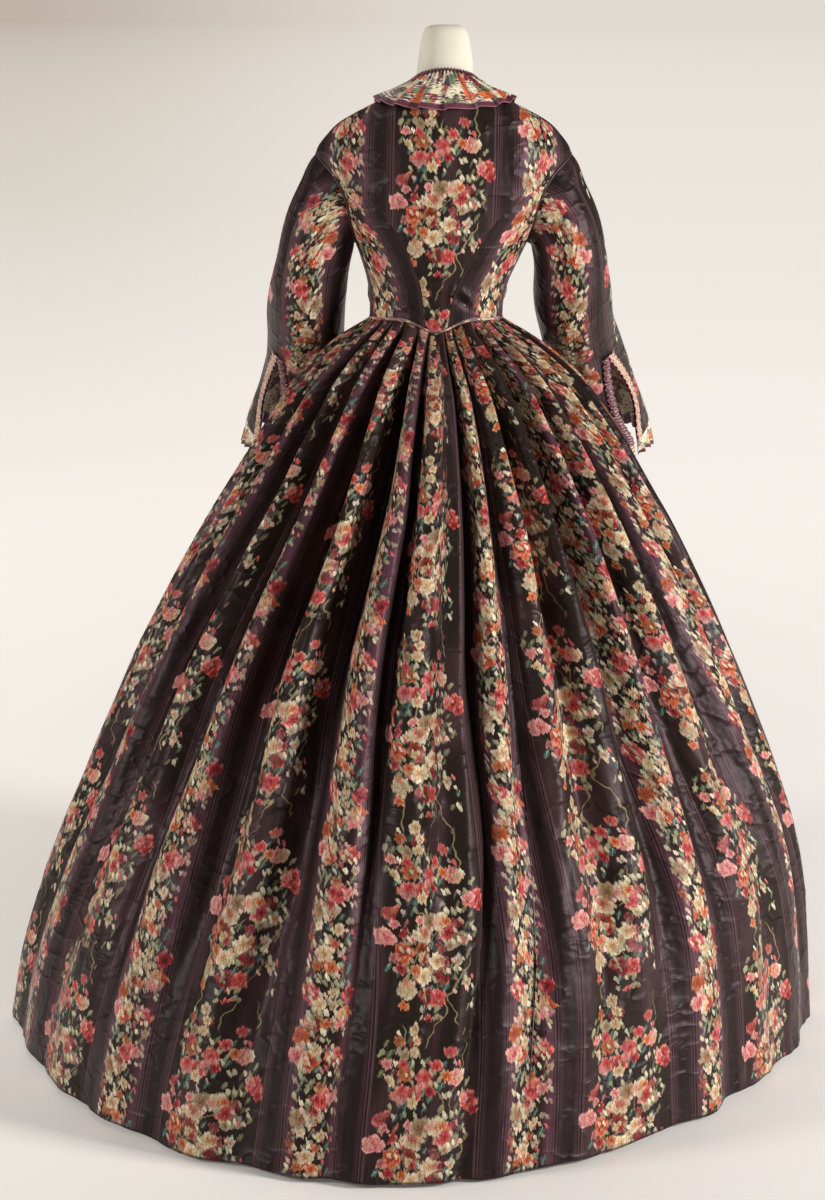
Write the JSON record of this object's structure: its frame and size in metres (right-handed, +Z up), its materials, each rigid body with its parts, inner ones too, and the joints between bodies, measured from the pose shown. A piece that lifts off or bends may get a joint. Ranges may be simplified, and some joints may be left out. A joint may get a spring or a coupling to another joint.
{
  "type": "afternoon dress on a limbless dress form with a round stand",
  "caption": "Striped floral silk dress with a pointed waist, open bell sleeves, frilled collar and full pleated skirt, worn by a limbless dress form on a round stand.",
  "frame": {"origin": "on the floor, at the bottom centre of the bounding box", "axes": "+Z up, the wearer faces -Y, +X is the wearer's left side"},
  "size_m": [1.2282, 1.2946, 1.485],
  "materials": {
    "silk_print": "crisp satin sheen, floral stripes on dark plum",
    "silk_piping": "soft sheen",
    "silk_trim": "satin sheen, floral border on plum",
    "form_cover": "smooth matte",
    "stand_metal": "satin"
  },
  "bodies": {
    "root": {"bodice_back": "silk_print", "bodice_side_back_left": "silk_print", "bodice_side_back_right": "silk_print", "bodice_front_left": "silk_print", "bodice_front_right": "silk_print", "waist_piping": "silk_piping", "armhole_piping_left": "silk_piping", "armhole_piping_right": "silk_piping", "skirt_breadth_1": "silk_print", "skirt_breadth_2": "silk_print", "skirt_breadth_3": "silk_print", "skirt_breadth_4": "silk_print", "skirt_breadth_5": "silk_print", "skirt_breadth_6": "silk_print", "skirt_breadth_7": "silk_print", "sleeve_upper_left": "silk_print", "sleeve_upper_right": "silk_print", "sleeve_under_left": "silk_print", "sleeve_under_right": "silk_print", "sleeve_trim_front_left": "silk_trim", "sleeve_trim_front_right": "silk_trim", "sleeve_trim_back_left": "silk_trim", "sleeve_trim_back_right": "silk_trim", "sleeve_frill_left": "silk_trim", "sleeve_frill_right": "silk_trim", "collar_frill": "silk_trim", "form_torso": "form_cover", "stand_pole": "stand_metal", "stand_base": "stand_metal"}
  },
  "joints": []
}
